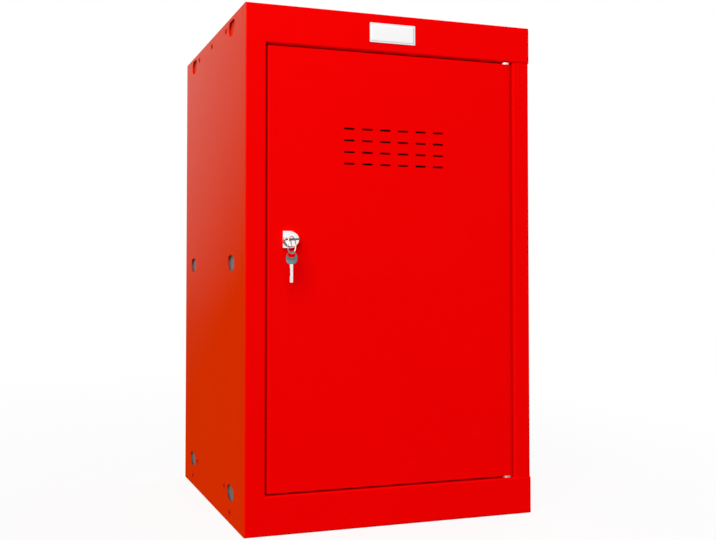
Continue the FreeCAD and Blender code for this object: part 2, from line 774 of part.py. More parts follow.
def barrel_outline(radius, flats):
    """A circle about the lock's axis with two flat sides."""
    half = f"(({flats}) / 2)"
    rise = f"sqrt(({radius}) * ({radius}) - {half} * {half})"
    left, right = f"{LOCK_X} - {half}", f"{LOCK_X} + {half}"
    low, high = f"lock_height - {rise}", f"lock_height + {rise}"
    arc = (radius, LOCK_X, "lock_height", True)
    return [(right, low, *arc), (right, high), (left, high, *arc), (left, low)]


def lock_housing():
    """Fixed part of the cam lock: D-shaped base, round boss and the barrel through the door."""
    body = start_body("lock_housing")
    pad(body, "lock_barrel", "XZ_Plane", ("0", "0", f"-{BARREL_REAR}"),
        [barrel_outline("barrel_radius", "barrel_flats")], f"{BARREL_REAR} - {DOOR_FRONT}")
    top = "lock_height + base_radius"
    bottom = "lock_height - base_radius"
    left = f"{LOCK_X} - base_flat"
    arc = ("base_radius", LOCK_X, "lock_height", True)
    base = [(LOCK_X, top, *arc), (left, top), (left, bottom), (LOCK_X, bottom),
            (f"{LOCK_X} + base_radius", "lock_height", *arc)]
    face = ("0", "0", f"-{DOOR_FRONT}")
    pad(body, "lock_base", "XZ_Plane", face, [base], "base_thick")
    disc(body, "lock_boss", "XZ_Plane", face, [(LOCK_X, "lock_height", "boss_radius")], "boss_reach")
    soften(body, "boss_bevel", lambda edge: lies_at(edge, y=BOSS_FACE), "boss_edge", "Chamfer")
    bore = (LOCK_X, "lock_height", "plug_radius + plug_fit")
    mouth = ("0", "0", f"-{BOSS_FACE}")
    drill(body, "lock_bore", "XZ_Plane", mouth, [bore], f"{BARREL_REAR} - {BOSS_FACE}")
    return body


def lock_nut():
    """Hexagon nut that clamps the lock against the door skin."""
    body = start_body("lock_nut")
    reach = "(nut_flats / sqrt(3))"
    turns = [f"{i} * 60deg" for i in range(6)]
    corners = [(f"{LOCK_X} + {reach} * cos({t})", f"lock_height + {reach} * sin({t})") for t in turns]
    rear = ("0", "0", f"-{SKIN_BACK} - nut_thick")
    pad(body, "nut_hexagon", "XZ_Plane", rear, [corners], "nut_thick")
    hole = (LOCK_X, "lock_height", "barrel_radius + barrel_fit")
    drill(body, "nut_hole", "XZ_Plane", rear, [hole], "nut_thick", True)
    return body


def lock_plug():
    """Turning core of the lock, with the keyway in front and a square tail for the cam."""
    body = start_body("lock_plug")
    core = (LOCK_X, "lock_height", "plug_radius")
    disc(body, "plug_core", "XZ_Plane", ("0", "0", f"-{CAM_FACE}"), [core], f"{CAM_FACE} - {PLUG_FACE}")
    tail_end = f"({CAM_BACK} - cam_grip)"
    tail = centred(LOCK_X, "lock_height", "cam_square", "cam_square")
    pad(body, "plug_tail", "XZ_Plane", ("0", "0", f"-{tail_end}"), [tail], f"{tail_end} - {CAM_FACE}")
    keyway = centred(LOCK_X, "lock_height",
                     "blade_width + 2 * keyway_fit", "blade_thick + 2 * keyway_fit")
    pocket(body, "keyway", "XZ_Plane", ("0", "0", f"-{PLUG_FACE}"), [keyway], "keyway_depth")
    hole = (LOCK_X, "lock_height", "screw_radius + screw_fit")
    rear = ("0", "0", f"-{tail_end}")
    drill(body, "screw_hole", "XZ_Plane", rear, [hole], "screw_length - cam_grip", True)
    return body


def lock_cam():
    """Latch bar on the plug's tail, upright when unlocked."""
    body = start_body("lock_cam")
    left, right = f"{LOCK_X} - cam_half", f"{LOCK_X} + cam_half"
    tip = "lock_height + cam_length"
    arc = ("cam_half", LOCK_X, "lock_height", True)
    bar = [(right, "lock_height", *arc), (right, tip), (left, tip), (left, "lock_height"),
           (LOCK_X, "lock_height - cam_half", *arc)]
    rear = ("0", "0", f"-{CAM_BACK}")
    pad(body, "cam_bar", "XZ_Plane", rear, [bar], "cam_thick")
    square = "(cam_square + 2 * cam_fit)"
    hole = centred(LOCK_X, "lock_height", square, square)
    pocket(body, "cam_hole", "XZ_Plane", rear, [hole], "cam_thick", True)
    return body


def cam_screw():
    """Cheese-head screw that holds the cam on the plug."""
    body = start_body("cam_screw")
    profile = [("0", "-screw_length"), ("screw_radius", "-screw_length"), ("screw_radius", "0"),
               ("screw_head", "0"), ("screw_head", "screw_head_height"), ("0", "screw_head_height")]
    at = (LOCK_X, CAM_BACK, "lock_height")
    revolve(body, "screw_profile", "XY_Plane", at, profile, "V")
    return body


def key_blade(label):
    """Blade of a key with its cuts, drawn flat with the bow's hole at the origin and the tip towards +Y."""
    body = start_body(label)
    half = "(blade_width / 2)"
    root = KEY_HOLE_REACH
    tip = f"({root} + blade_length)"
    edge = [(half, root)]
    for index, step in enumerate(KEY_CUTS):
        middle = f"({root} + blade_cut_start + {index} * blade_cut_pitch)"
        depth = f"({half} - {step} * blade_cut)"
        shoulder = "(blade_cut_pitch / 2)"
        if index == 0:
            edge.append((half, f"{middle} - {shoulder}"))
        edge.append((depth, f"{middle} - blade_cut_flat / 2"))
        edge.append((depth, f"{middle} + blade_cut_flat / 2"))
    outline = [(f"-{half}", root)] + edge + [(f"{half} - {KEY_CUTS[-1]} * blade_cut", f"{tip} - blade_bevel"),
                                             (f"{half} - blade_bevel", tip), (f"-{half} + blade_bevel", tip),
                                             (f"-{half}", f"{tip} - blade_bevel")]
    pad(body, label + "_flat", "XY_Plane", ("0", "0", "-blade_thick / 2"), [outline], "blade_thick")
    return body


def key_bow(label):
    """Oval grip of a key with its ring slot, drawn flat with the slot's middle at the origin."""
    body = start_body(label)
    root = KEY_HOLE_REACH
    centre = "(bow_radius - bow_hole_end)"
    side = f"({root} - bow_corner)"
    inner = "(bow_radius - bow_corner)"
    top = ("bow_radius", "0", centre, True)
    outline = [("-bow_radius", centre), ("0", f"{centre} - bow_radius", *top), ("bow_radius", centre, *top),
               ("bow_radius", side), (inner, root, "bow_corner", inner, side, True), (f"-{inner}", root),
               ("-bow_radius", side, "bow_corner", f"-{inner}", side, True)]
    flat = ("0", "0", "-bow_thick / 2")
    pad(body, label + "_flat", "XY_Plane", flat, [outline], "bow_thick")
    slot = obround("0", "0", "bow_hole_width", "bow_hole_height")
    pocket(body, label + "_slot", "XY_Plane", flat, [slot], "bow_thick", True)
    return body


def place(part, x, y, z, rotation=FreeCAD.Rotation()):
    """Turn a finished piece and carry it to its place."""
    part.Placement = FreeCAD.Placement(FreeCAD.Vector(), rotation)
    for axis, text in zip("xyz", (x, y, z)):
        part.setExpression("Placement.Base." + axis, bound(text))
    DOC.recompute()
    return part


def key_ring():
    """Ring of flattened wire through the bow of the key in the lock, leaning to the front left."""
    body = start_body("key_ring")
    section = centred("ring_radius", "0", "2 * ring_wire", "2 * ring_wire")
    revolve(body, "ring_section", "XZ_Plane", ("0", "0", "0"), section, "V")
    turn = math.radians(number("ring_turn"))
    normal = FreeCAD.Vector(math.cos(turn), -math.sin(turn), 0)
    return place(body, RING_X, RING_Y, RING_Z, FreeCAD.Rotation(FreeCAD.Vector(0, 0, 1), normal))


def spare_turn():
    """Rotation of the hanging spare key: tip down, its flat side along the ring's lowest run."""
    upright = FreeCAD.Rotation(FreeCAD.Vector(1, 0, 0), -90)
    return FreeCAD.Rotation(FreeCAD.Vector(0, 0, 1), 180 - number("ring_turn")).multiply(upright)


def build():
    """Every piece of the locker, in the order of assembly."""
    in_lock = (LOCK_X, KEY_HOLE_Y, "lock_height")
    hanging = (RING_X, RING_Y, SPARE_Z, spare_turn())
    roof_line = "(cab_height - roof_rivet_drop)"
    return [
        front_frame(), hinge_post(),
        side_panel("left_side_panel", -1, OPEN_LEFT), side_panel("right_side_panel", 1, POST_WALL),
        roof_pan(), base_pan(), back_panel(),
        slot_plates("left_slot_plates", -1), slot_plates("right_slot_plates", 1),
        rivets("left_roof_rivets", -1, "roof", roof_line),
        rivets("right_roof_rivets", 1, "roof", roof_line),
        rivets("left_base_rivets", -1, "base", "base_rivet_rise"),
        rivets("right_base_rivets", 1, "base", "base_rivet_rise"),
        badge_plate(),
        hinge_plate("upper_hinge_plate", f"{OPEN_TOP} + sheet"),
        hinge_plate("lower_hinge_plate", f"{OPEN_BOTTOM} - sheet - hinge_plate"),
        pivot_pin("upper_pivot_pin", f"{OPEN_TOP} + sheet + hinge_plate", -1),
        pivot_pin("lower_pivot_pin", f"{OPEN_BOTTOM} - sheet - hinge_plate", 1),
        pivot_washer("upper_pivot_washer", f"{DOOR_TOP} + washer_play"),
        pivot_washer("lower_pivot_washer", OPEN_BOTTOM),
        door_skin(), door_stiffener(),
        pivot_bracket("upper_pivot_bracket", f"{DOOR_TOP} - sheet - bracket"),
        pivot_bracket("lower_pivot_bracket", f"{DOOR_BOTTOM} + sheet"),
        lock_housing(), lock_nut(), lock_plug(), lock_cam(), cam_screw(),
        place(key_blade("key_blade"), *in_lock), place(key_bow("key_bow"), *in_lock),
        key_ring(),
        place(key_blade("spare_key_blade"), *hanging), place(key_bow("spare_key_bow"), *hanging),
    ]


def check(parts):
    """Stop on a failed feature or a bad solid."""
    for item in DOC.Objects:
        if "Invalid" in item.State or "Error" in item.State:
            raise RuntimeError(f"{item.Label} failed: {item.State}")
    for part in parts:
        if part.Shape.isNull() or not part.Shape.isValid() or not part.Shape.Solids:
            raise RuntimeError(f"{part.Label} has no valid solid")


def export(parts):
    """One file for each piece."""
    os.makedirs("parts", exist_ok=True)
    for part in parts:
        part.Shape.exportStep(f"parts/{part.Label}.step")


PARTS = build()
DOC.recompute()
check(PARTS)
export(PARTS)
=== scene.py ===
"""Red steel cube locker: finishes, badge face, rivet heads, key bows, split ring, studio and camera.

Everything is in metres in the part's own frame: +Z up, the locker's front towards -Y.
"""
from __future__ import annotations

import json
import logging
import math
from dataclasses import dataclass
from enum import Enum
from typing import Sequence

import bmesh
import bpy
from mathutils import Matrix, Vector

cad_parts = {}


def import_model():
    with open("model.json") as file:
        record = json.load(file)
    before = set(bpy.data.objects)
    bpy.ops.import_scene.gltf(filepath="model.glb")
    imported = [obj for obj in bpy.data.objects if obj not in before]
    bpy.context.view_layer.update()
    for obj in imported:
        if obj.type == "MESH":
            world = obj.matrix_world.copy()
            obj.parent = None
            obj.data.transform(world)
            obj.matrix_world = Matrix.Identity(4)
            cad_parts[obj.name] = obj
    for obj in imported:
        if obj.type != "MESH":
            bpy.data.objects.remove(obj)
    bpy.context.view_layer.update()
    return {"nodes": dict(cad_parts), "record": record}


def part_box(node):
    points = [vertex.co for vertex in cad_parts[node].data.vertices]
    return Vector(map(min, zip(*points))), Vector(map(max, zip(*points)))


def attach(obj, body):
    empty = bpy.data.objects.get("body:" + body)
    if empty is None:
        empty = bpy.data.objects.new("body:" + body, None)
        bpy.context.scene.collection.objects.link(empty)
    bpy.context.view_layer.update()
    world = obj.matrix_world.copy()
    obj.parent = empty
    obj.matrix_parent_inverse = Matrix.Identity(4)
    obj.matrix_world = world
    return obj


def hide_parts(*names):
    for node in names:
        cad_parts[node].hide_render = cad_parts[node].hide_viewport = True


LOG = logging.getLogger("cube_locker")
MM = 0.001
FULL_TURN = 2.0 * math.pi
HALF_TURN = math.pi
QUARTER_TURN = math.pi / 2
UP = Vector((0.0, 0.0, 1.0))
INTO_LOCKER = Vector((0.0, 1.0, 0.0))
NOISE_MIDDLE = 0.5
ROOF_RIVETS = 3
BASE_RIVETS = 2
SILL_RIVET_RISE = 27.0 * MM

Colour = tuple[float, float, float, float]
Point = tuple[float, float, float]


def grey(level: float) -> Colour:
    """A neutral colour, from black at 0 to white at 1."""
    return (level, level, level, 1.0)


WHITE = grey(1.0)


class MathStep(Enum):
    """Operations that an expression on sockets can add."""

    ADD = "ADD"
    SUBTRACT = "SUBTRACT"
    MULTIPLY = "MULTIPLY"
    LARGER = "MAXIMUM"


class Ray(Enum):
    """Ways in which a ray can reach a surface."""

    STRAIGHT = "Is Camera Ray"
    MIRRORED = "Is Glossy Ray"
    THROUGH = "Is Transmission Ray"


class Body(Enum):
    """The rigid bodies that the added pieces ride on."""

    CABINET = "cabinet"
    KEY = "key"
    RING = "ring"
    SPARE_KEY = "spare_key"


class Side(Enum):
    """The locker's two sides, with the way that each faces along X."""

    LEFT = -1.0
    RIGHT = 1.0


@dataclass(frozen=True)
class Mottle:
    """A cloudy pattern: lumps per metre, and how many finer layers lie on them."""

    scale: float
    detail: float


class Socket:
    """One output of a node, usable in arithmetic: each operation adds a Math node."""

    def __init__(self, graph: Graph, output: bpy.types.NodeSocket | None) -> None:
        """Keep the graph and the output in it."""
        self.graph = graph
        self.output = output

    def _step(self, step: MathStep, first: Socket | float, second: Socket | float) -> Socket:
        """The result of one Math node on two inputs."""
        return self.graph.node("ShaderNodeMath", {"operation": step.value}, {0: first, 1: second})

    def __add__(self, other: Socket | float) -> Socket:
        """This value plus another."""
        return self._step(MathStep.ADD, self, other)

    def __radd__(self, other: float) -> Socket:
        """A number plus this value."""
        return self._step(MathStep.ADD, other, self)

    def __sub__(self, other: Socket | float) -> Socket:
        """This value less another."""
        return self._step(MathStep.SUBTRACT, self, other)

    def __rsub__(self, other: float) -> Socket:
        """A number less this value."""
        return self._step(MathStep.SUBTRACT, other, self)

    def __mul__(self, other: Socket | float) -> Socket:
        """This value times another."""
        return self._step(MathStep.MULTIPLY, self, other)

    def __rmul__(self, other: float) -> Socket:
        """A number times this value."""
        return self._step(MathStep.MULTIPLY, other, self)

    def __or__(self, other: Socket | float) -> Socket:
        """The larger of this mask and another."""
        return self._step(MathStep.LARGER, self, other)

    def __ror__(self, other: float) -> Socket:
        """The larger of a number and this mask."""
        return self._step(MathStep.LARGER, other, self)


class Graph:
    """The node tree of one material or of the world."""

    def __init__(self, tree: bpy.types.NodeTree) -> None:
        """Start from an empty tree."""
        tree.nodes.clear()
        self.tree = tree

    def node(self, kind: str, settings: dict[str, object] | None = None,
             sockets: dict[str | int, object] | None = None, output: str | int = 0) -> Socket:
        """Add one node.

        Args:
            kind: Blender's name for the node's type.
            settings: The node's own settings, which are set first.
            sockets: Values or links of its inputs, by name or number.
            output: The output that is wanted.

        Returns:
            That output, or a socket without one for a node that has none.
        """
        made = self.tree.nodes.new(kind)
        for name, value in (settings or {}).items():
            setattr(made, name, value)
        for key, value in (sockets or {}).items():
            if isinstance(value, Socket):
                self.tree.links.new(value.output, made.inputs[key])
            else:
                made.inputs[key].default_value = value
        return Socket(self, made.outputs[output] if made.outputs else None)

    def place(self) -> Socket:
        """The point on the object, in metres in the part's frame."""
        return self.node("ShaderNodeTexCoord", output="Object")

    def stretched(self, scale: Point) -> Socket:
        """The point on the object with its axes scaled."""
        return self.node("ShaderNodeMapping", sockets={"Vector": self.place(), "Scale": scale})

    def sideways(self, vector: Socket) -> Socket:
        """How far a vector reaches along X."""
        return self.node("ShaderNodeSeparateXYZ", sockets={0: vector}, output="X")

    def ray(self, kind: Ray) -> Socket:
        """A mask of 1 for one kind of ray."""
        return self.node("ShaderNodeLightPath", output=kind.value)

    def noise(self, pattern: Mottle, at: Socket | None = None) -> Socket:
        """Cloudy noise about NOISE_MIDDLE, read at a given point or else at the plain object point."""
        sockets = {"Vector": at or self.place(), "Scale": pattern.scale, "Detail": pattern.detail}
        return self.node("ShaderNodeTexNoise", sockets=sockets)

    def ramp(self, value: Socket, low: float, high: float) -> Socket:
        """A number that climbs from 0 to 1 while a value goes from low to high."""
        return self.node("ShaderNodeMapRange", sockets={"Value": value, "From Min": low, "From Max": high})

    def blend(self, first: Socket | Colour, second: Socket | Colour, share: Socket | float) -> Socket:
        """A mix of two colours, by the share of the second."""
        settings = {"data_type": "RGBA", "clamp_factor": True}
        return self.node("ShaderNodeMix", settings, {0: share, 6: first, 7: second}, output=2)

    def relief(self, height: Socket, depth: float, strength: float) -> Socket:
        """A surface normal roughened by a height, where a height of 1 stands for the depth in metres."""
        sockets = {"Height": height, "Distance": depth, "Strength": strength}
        return self.node("ShaderNodeBump", sockets=sockets)

    def matt(self, colour: Socket | Colour) -> Socket:
        """A matt shader of one colour."""
        return self.node("ShaderNodeBsdfDiffuse", sockets={"Color": colour})

    def mixed(self, share: Socket, first: Socket, second: Socket) -> Socket:
        """A mix of two shaders, by the share of the second."""
        return self.node("ShaderNodeMixShader", sockets={0: share, 1: first, 2: second})


@dataclass(frozen=True)
class Finish:
    """A surface finish whose material is made once and shared.

    In the finishes below, a pattern's tone is its share in the mix of the two colours, and its dulling is
    how much it changes the roughness.
    """

    name: str

    def material(self) -> bpy.types.Material:
        """The finish's material.

        Returns:
            The material, made on first use.
        """
        made = bpy.data.materials.get(self.name)
        if made is None:
            made = bpy.data.materials.new(self.name)
            made.use_nodes = True
            graph = Graph(made.node_tree)
            graph.node("ShaderNodeOutputMaterial", sockets={"Surface": self.shader(graph)})
        return made

    def shader(self, graph: Graph) -> Socket:
        """The finish's shader, which each kind of finish makes in its own way."""
        raise NotImplementedError

    def dress(self, obj: bpy.types.Object) -> None:
        """Put the finish on every material slot of an object.

        Args:
            obj: The object to dress.
        """
        if not obj.material_slots:
            obj.data.materials.append(self.material())
        for slot in obj.material_slots:
            slot.material = self.material()


@dataclass(frozen=True)
class PowderCoat(Finish):
    """Sprayed and baked paint with a faint orange-peel skin, and a painted sheen on it where it has any.

    The painted sheen is a clear coat whose weight grows towards the top. It is a painted reflection that
    stands in for the whiter sheen the light lays on the upper sides. It begins at painted_sheen_from and is
    full at painted_sheen_to. Both are heights in metres, counted as more behind the locker's middle and less
    in front of it, by painted_sheen_lean of the distance.
    """

    colour: Colour
    deep: Colour
    roughness: float = 0.42
    gloss: float = 0.03
    bloom: float = 0.0
    bloom_tint: Colour = WHITE
    painted_sheen: float = 0.0
    painted_sheen_from: float = 0.208
    painted_sheen_to: float = 0.75
    painted_sheen_lean: float = 0.51
    painted_sheen_roughness: float = 0.35
    cloud: Mottle = Mottle(7.0, 3.0)
    cloud_tone: float = 0.6
    scuff: Mottle = Mottle(60.0, 6.0)
    scuff_tone: float = 0.3
    scuff_dulling: float = 0.1
    peel: Mottle = Mottle(900.0, 1.0)
    peel_dulling: float = 0.12
    peel_depth: float = 0.25 * MM
    peel_strength: float = 0.5

    def _painted_sheen_share(self, graph: Graph) -> Socket:
        """How much painted sheen (clear coat standing in for the light's sheen) lies on the paint, less and
        less towards the floor and the front.

        Args:
            graph: The material's nodes.

        Returns:
            The share of painted sheen.
        """
        slant = (0.0, self.painted_sheen_lean, 1.0)
        reach = graph.node("ShaderNodeVectorMath", {"operation": "DOT_PRODUCT"},
                           {0: graph.place(), 1: slant}, "Value")
        return graph.ramp(reach, self.painted_sheen_from, self.painted_sheen_to) * self.painted_sheen

    def shader(self, graph: Graph) -> Socket:
        """Paint with cloudy depth, peel and scuffs, and a painted sheen on top where the finish has it.

        Args:
            graph: The material's nodes.

        Returns:
            The shader output.
        """
        cloud = graph.noise(self.cloud)
        peel = graph.noise(self.peel)
        scuff = graph.noise(self.scuff) - NOISE_MIDDLE
        tone = cloud * self.cloud_tone + scuff * self.scuff_tone
        dulling = (peel - NOISE_MIDDLE) * self.peel_dulling
        return graph.node("ShaderNodeBsdfPrincipled", sockets={
            "Base Color": graph.blend(self.colour, self.deep, tone),
            "Roughness": self.roughness + dulling + scuff * self.scuff_dulling,
            "Specular IOR Level": self.gloss,
            "Sheen Weight": self.bloom,
            "Sheen Tint": self.bloom_tint,
            # Painted sheen: the coat weight rises with height, standing in for the whiter sheen the light
            # lays on the upper sides.
            "Coat Weight": self._painted_sheen_share(graph) if self.painted_sheen else 0.0,
            "Coat Roughness": self.painted_sheen_roughness,
            "Normal": graph.relief(peel, self.peel_depth, self.peel_strength),
        })


@dataclass(frozen=True)
class FlankedCoat(Finish):
    """Paint whose faces on the outer sides take a painted-light copy of the coat, which stands in for how
    light at grazing angles shows the same paint.
    """

    face: PowderCoat
    flank: PowderCoat
    side_from: float = 0.11
    side_to: float = 0.16

    def shader(self, graph: Graph) -> Socket:
        """The front's coat and the painted-light side coat, changing over where a face turns outwards to the
        left or right.

        Args:
            graph: The material's nodes.

        Returns:
            The shader output.
        """
        normal = graph.node("ShaderNodeTexCoord", output="Normal")
        outwards = graph.sideways(normal) * graph.sideways(graph.place())
        # Faces turned outwards take the painted-light side coat.
        share = graph.ramp(outwards, self.side_from, self.side_to)
        return graph.mixed(share, self.face.shader(graph), self.flank.shader(graph))


@dataclass(frozen=True)
class PlatedSteel(Finish):
    """Bright plated steel with a faint spangle of crystals."""

    colour: Colour
    dull: Colour
    roughness: float = 0.3
    spangle: float = 350.0
    spangle_tone: float = 0.5
    spangle_dulling: float = 0.12
    grime: Mottle = Mottle(140.0, 4.0)
    grime_tone: float = 0.4
    grime_dulling: float = 0.1
    grime_depth: float = 0.03 * MM
    grime_strength: float = 0.3

    def shader(self, graph: Graph) -> Socket:
        """Metal whose tone and gloss change from crystal to crystal.

        Args:
            graph: The material's nodes.

        Returns:
            The shader output.
        """
        crystal = graph.node("ShaderNodeTexVoronoi",
                             sockets={"Vector": graph.place(), "Scale": self.spangle}, output="Distance")
        grime = graph.noise(self.grime)
        tone = crystal * self.spangle_tone + grime * self.grime_tone
        dulling = (grime - NOISE_MIDDLE) * self.grime_dulling
        return graph.node("ShaderNodeBsdfPrincipled", sockets={
            "Base Color": graph.blend(self.colour, self.dull, tone),
            "Metallic": 1.0,
            "Roughness": self.roughness + crystal * self.spangle_dulling + dulling,
            "Normal": graph.relief(grime, self.grime_depth, self.grime_strength),
        })


@dataclass(frozen=True)
class PolishedMetal(Finish):
    """Polished or brushed metal, with so many fine lines per metre along X, Y and Z."""

    colour: Colour
    shade: Colour
    roughness: float
    lines: Point
    line_depth: float = 0.02 * MM
    line_strength: float = 0.3
    line: Mottle = Mottle(1.0, 2.0)
    line_tone: float = 0.5
    line_dulling: float = 0.1
    tarnish: Mottle = Mottle(220.0, 4.0)
    tarnish_tone: float = 0.4
    tarnish_dulling: float = 0.06

    def shader(self, graph: Graph) -> Socket:
        """Metal with polishing lines and a little tarnish.

        Args:
            graph: The material's nodes.

        Returns:
            The shader output.
        """
        line = graph.noise(self.line, graph.stretched(self.lines))
        tarnish = graph.noise(self.tarnish)
        tone = line * self.line_tone + tarnish * self.tarnish_tone
        dulling = (tarnish - NOISE_MIDDLE) * self.tarnish_dulling
        return graph.node("ShaderNodeBsdfPrincipled", sockets={
            "Base Color": graph.blend(self.colour, self.shade, tone),
            "Metallic": 1.0,
            "Roughness": self.roughness + line * self.line_dulling + dulling,
            "Normal": graph.relief(line, self.line_depth, self.line_strength),
        })


@dataclass(frozen=True)
class MouldedPlastic(Finish):
    """Moulded plastic with a fine grain from its mould."""

    colour: Colour
    shade: Colour
    roughness: float = 0.45
    gloss: float = 0.35
    grain: Mottle = Mottle(3200.0, 2.0)
    grain_dulling: float = 0.2
    grain_depth: float = 0.03 * MM
    grain_strength: float = 0.4
    cloud: Mottle = Mottle(120.0, 3.0)
    cloud_tone: float = 0.6
    marks: Mottle = Mottle(700.0, 5.0)
    marks_tone: float = 0.5
    marks_dulling: float = 0.15

    def shader(self, graph: Graph) -> Socket:
        """Plastic with cloudy tone, grain and handling marks.

        Args:
            graph: The material's nodes.

        Returns:
            The shader output.
        """
        grain = graph.noise(self.grain)
        cloud = graph.noise(self.cloud)
        marks = graph.noise(self.marks) - NOISE_MIDDLE
        tone = cloud * self.cloud_tone + marks * self.marks_tone
        dulling = (grain - NOISE_MIDDLE) * self.grain_dulling
        return graph.node("ShaderNodeBsdfPrincipled", sockets={
            "Base Color": graph.blend(self.colour, self.shade, tone),
            "Roughness": self.roughness + dulling + marks * self.marks_dulling,
            "Specular IOR Level": self.gloss,
            "Normal": graph.relief(grain, self.grain_depth, self.grain_strength),
        })


@dataclass(frozen=True)
class EnamelFace(Finish):
    """Smooth white enamel of the bare badge."""

    colour: Colour
    shade: Colour
    roughness: float = 0.3
    gloss: float = 0.4
    ripple: Mottle = Mottle(160.0, 4.0)
    ripple_tone: float = 0.7
    ripple_dulling: float = 0.15
    ripple_depth: float = 0.02 * MM
    ripple_strength: float = 0.2

    def shader(self, graph: Graph) -> Socket:
        """Enamel with a trace of mottling.

        Args:
            graph: The material's nodes.

        Returns:
            The shader output.
        """
        ripple = graph.noise(self.ripple)
        return graph.node("ShaderNodeBsdfPrincipled", sockets={
            "Base Color": graph.blend(self.colour, self.shade, ripple * self.ripple_tone),
            "Roughness": self.roughness + (ripple - NOISE_MIDDLE) * self.ripple_dulling,
            "Specular IOR Level": self.gloss,
            "Normal": graph.relief(ripple, self.ripple_depth, self.ripple_strength),
        })


@dataclass(frozen=True)
class StudioFloor(Finish):
    """Pale matt floor that shows nearly white and sends back less light than it shows."""

    colour: Colour
    shade: Colour
    returned: Colour
    mirrored: Colour
    lift: float
    near: float = 0.5
    far: float = 2.0
    mirror_near: float = 9.0
    mirror_far: float = 14.0
    grain: Mottle = Mottle(30.0, 3.0)

    def shader(self, graph: Graph) -> Socket:
        """Matt floor that fades to white with distance, and sooner for the camera than in reflections.

        Args:
            graph: The material's nodes.

        Returns:
            The shader output.
        """
        away = graph.node("ShaderNodeVectorMath", {"operation": "LENGTH"}, {0: graph.place()}, "Value")
        fade = graph.ramp(away, self.near, self.far)
        distant = graph.ramp(away, self.mirror_near, self.mirror_far)
        pale = graph.matt(graph.blend(self.colour, self.shade, graph.noise(self.grain)))
        glow = graph.node("ShaderNodeEmission", sockets={"Color": WHITE, "Strength": 1.0})
        shown = graph.mixed(fade * (1.0 - self.lift) + self.lift, pale, glow)
        reflected = graph.mixed(distant, graph.matt(self.mirrored), glow)
        unseen = graph.mixed(graph.ray(Ray.MIRRORED), graph.matt(self.returned), reflected)
        return graph.mixed(graph.ray(Ray.STRAIGHT), unseen, shown)


RED = PowderCoat("red_powder_coat", (0.95, 0.0, 0.0, 1.0), (0.87, 0.0, 0.0, 1.0), gloss=0.012)
# Painted light: the outer sides get a copy of the red paint with an orange tint in its base colour, an
# orange sheen and the painted sheen coat, standing in for how light at grazing angles shows the same paint.
SIDE_RED_PAINTED_LIGHT = PowderCoat("red_side_painted_light_coat", (0.97, 0.012, 0.0, 1.0), (0.9, 0.008, 0.0, 1.0), roughness=0.4,
                      gloss=0.0, bloom=0.07, bloom_tint=(1.0, 0.75, 0.0, 1.0), painted_sheen=0.5)
# Faces of these parts that turn outwards take the painted-light side copy of the paint.
FRAME_RED = FlankedCoat("red_frame_coat", RED, SIDE_RED_PAINTED_LIGHT)
# Painted shade: the rivet heads take a darker copy of the red paint, standing in for the shade on them.
SHADED_RIVET_RED = PowderCoat("red_rivet_painted_shade_coat", (0.62, 0.0, 0.0, 1.0), (0.5, 0.0, 0.0, 1.0), roughness=0.35,
                       gloss=0.05)
GREY = PowderCoat("grey_coat", (0.23, 0.22, 0.21, 1.0), (0.17, 0.165, 0.16, 1.0), roughness=0.55, gloss=0.3)
ZINC = PlatedSteel("zinc_plate", (0.94, 0.95, 0.96, 1.0), (0.78, 0.79, 0.81, 1.0))
CHROME = PolishedMetal("polished_chrome", (0.98, 0.985, 0.99, 1.0), (0.9, 0.905, 0.92, 1.0),
                       roughness=0.04, lines=(900.0, 900.0, 900.0), line_depth=0.006 * MM)
NICKEL = PolishedMetal("key_nickel", (0.99, 0.97, 0.94, 1.0), (0.86, 0.84, 0.81, 1.0),
                       roughness=0.06, lines=(300.0, 300.0, 2500.0), line_depth=0.008 * MM)
RING_STEEL = PolishedMetal("ring_steel", (0.99, 0.98, 0.96, 1.0), (0.93, 0.92, 0.9, 1.0),
                           roughness=0.38, lines=(500.0, 500.0, 500.0))
GRIP = MouldedPlastic("key_grip_grey", (0.15, 0.23, 0.22, 1.0), (0.11, 0.17, 0.165, 1.0))
SILVER = PolishedMetal("badge_border", (0.94, 0.94, 0.95, 1.0), (0.82, 0.82, 0.83, 1.0),
                       roughness=0.25, lines=(200.0, 4000.0, 4000.0))
ENAMEL = EnamelFace("badge_enamel", grey(0.98), (0.92, 0.92, 0.93, 1.0))
FLOOR = StudioFloor("studio_floor", grey(0.96), grey(0.93), returned=grey(0.35), mirrored=grey(0.2),
                    lift=0.88)


def add_mesh(name: str, points: Sequence[Point], faces: Sequence[Sequence[int]],
             solid: bool = True) -> bpy.types.Object:
    """Make an object from points and faces.

    Args:
        name: The object's name.
        points: Places of the corners, in metres.
        faces: Corner numbers of each face.
        solid: Whether it is a closed body, whose faces are turned outwards and shaded smooth.

    Returns:
        The object, linked to the scene.
    """
    mesh = bpy.data.meshes.new(name)
    mesh.from_pydata(points, [], faces)
    if solid:
        turned = bmesh.new()
        turned.from_mesh(mesh)
        bmesh.ops.recalc_face_normals(turned, faces=turned.faces)
        turned.to_mesh(mesh)
        turned.free()
        mesh.polygons.foreach_set("use_smooth", [True] * len(mesh.polygons))
    mesh.update()
    obj = bpy.data.objects.new(name, mesh)
    bpy.context.scene.collection.objects.link(obj)
    return obj


def wall_faces(rows: int, columns: int, closed: bool, looped: bool = False) -> list[tuple[int, ...]]:
    """Four-sided faces between rows of points.

    Args:
        rows: Number of rows.
        columns: Points in each row.
        closed: Whether each row is a loop.
        looped: Whether the last row joins the first.

    Returns:
        The faces' corner numbers.
    """
    steps = columns if closed else columns - 1
    faces = []
    for row in range(rows if looped else rows - 1):
        here, there = row * columns, (row + 1) % rows * columns
        for column in range(steps):
            after = (column + 1) % columns
            faces.append((here + column, here + after, there + after, there + column))
    return faces


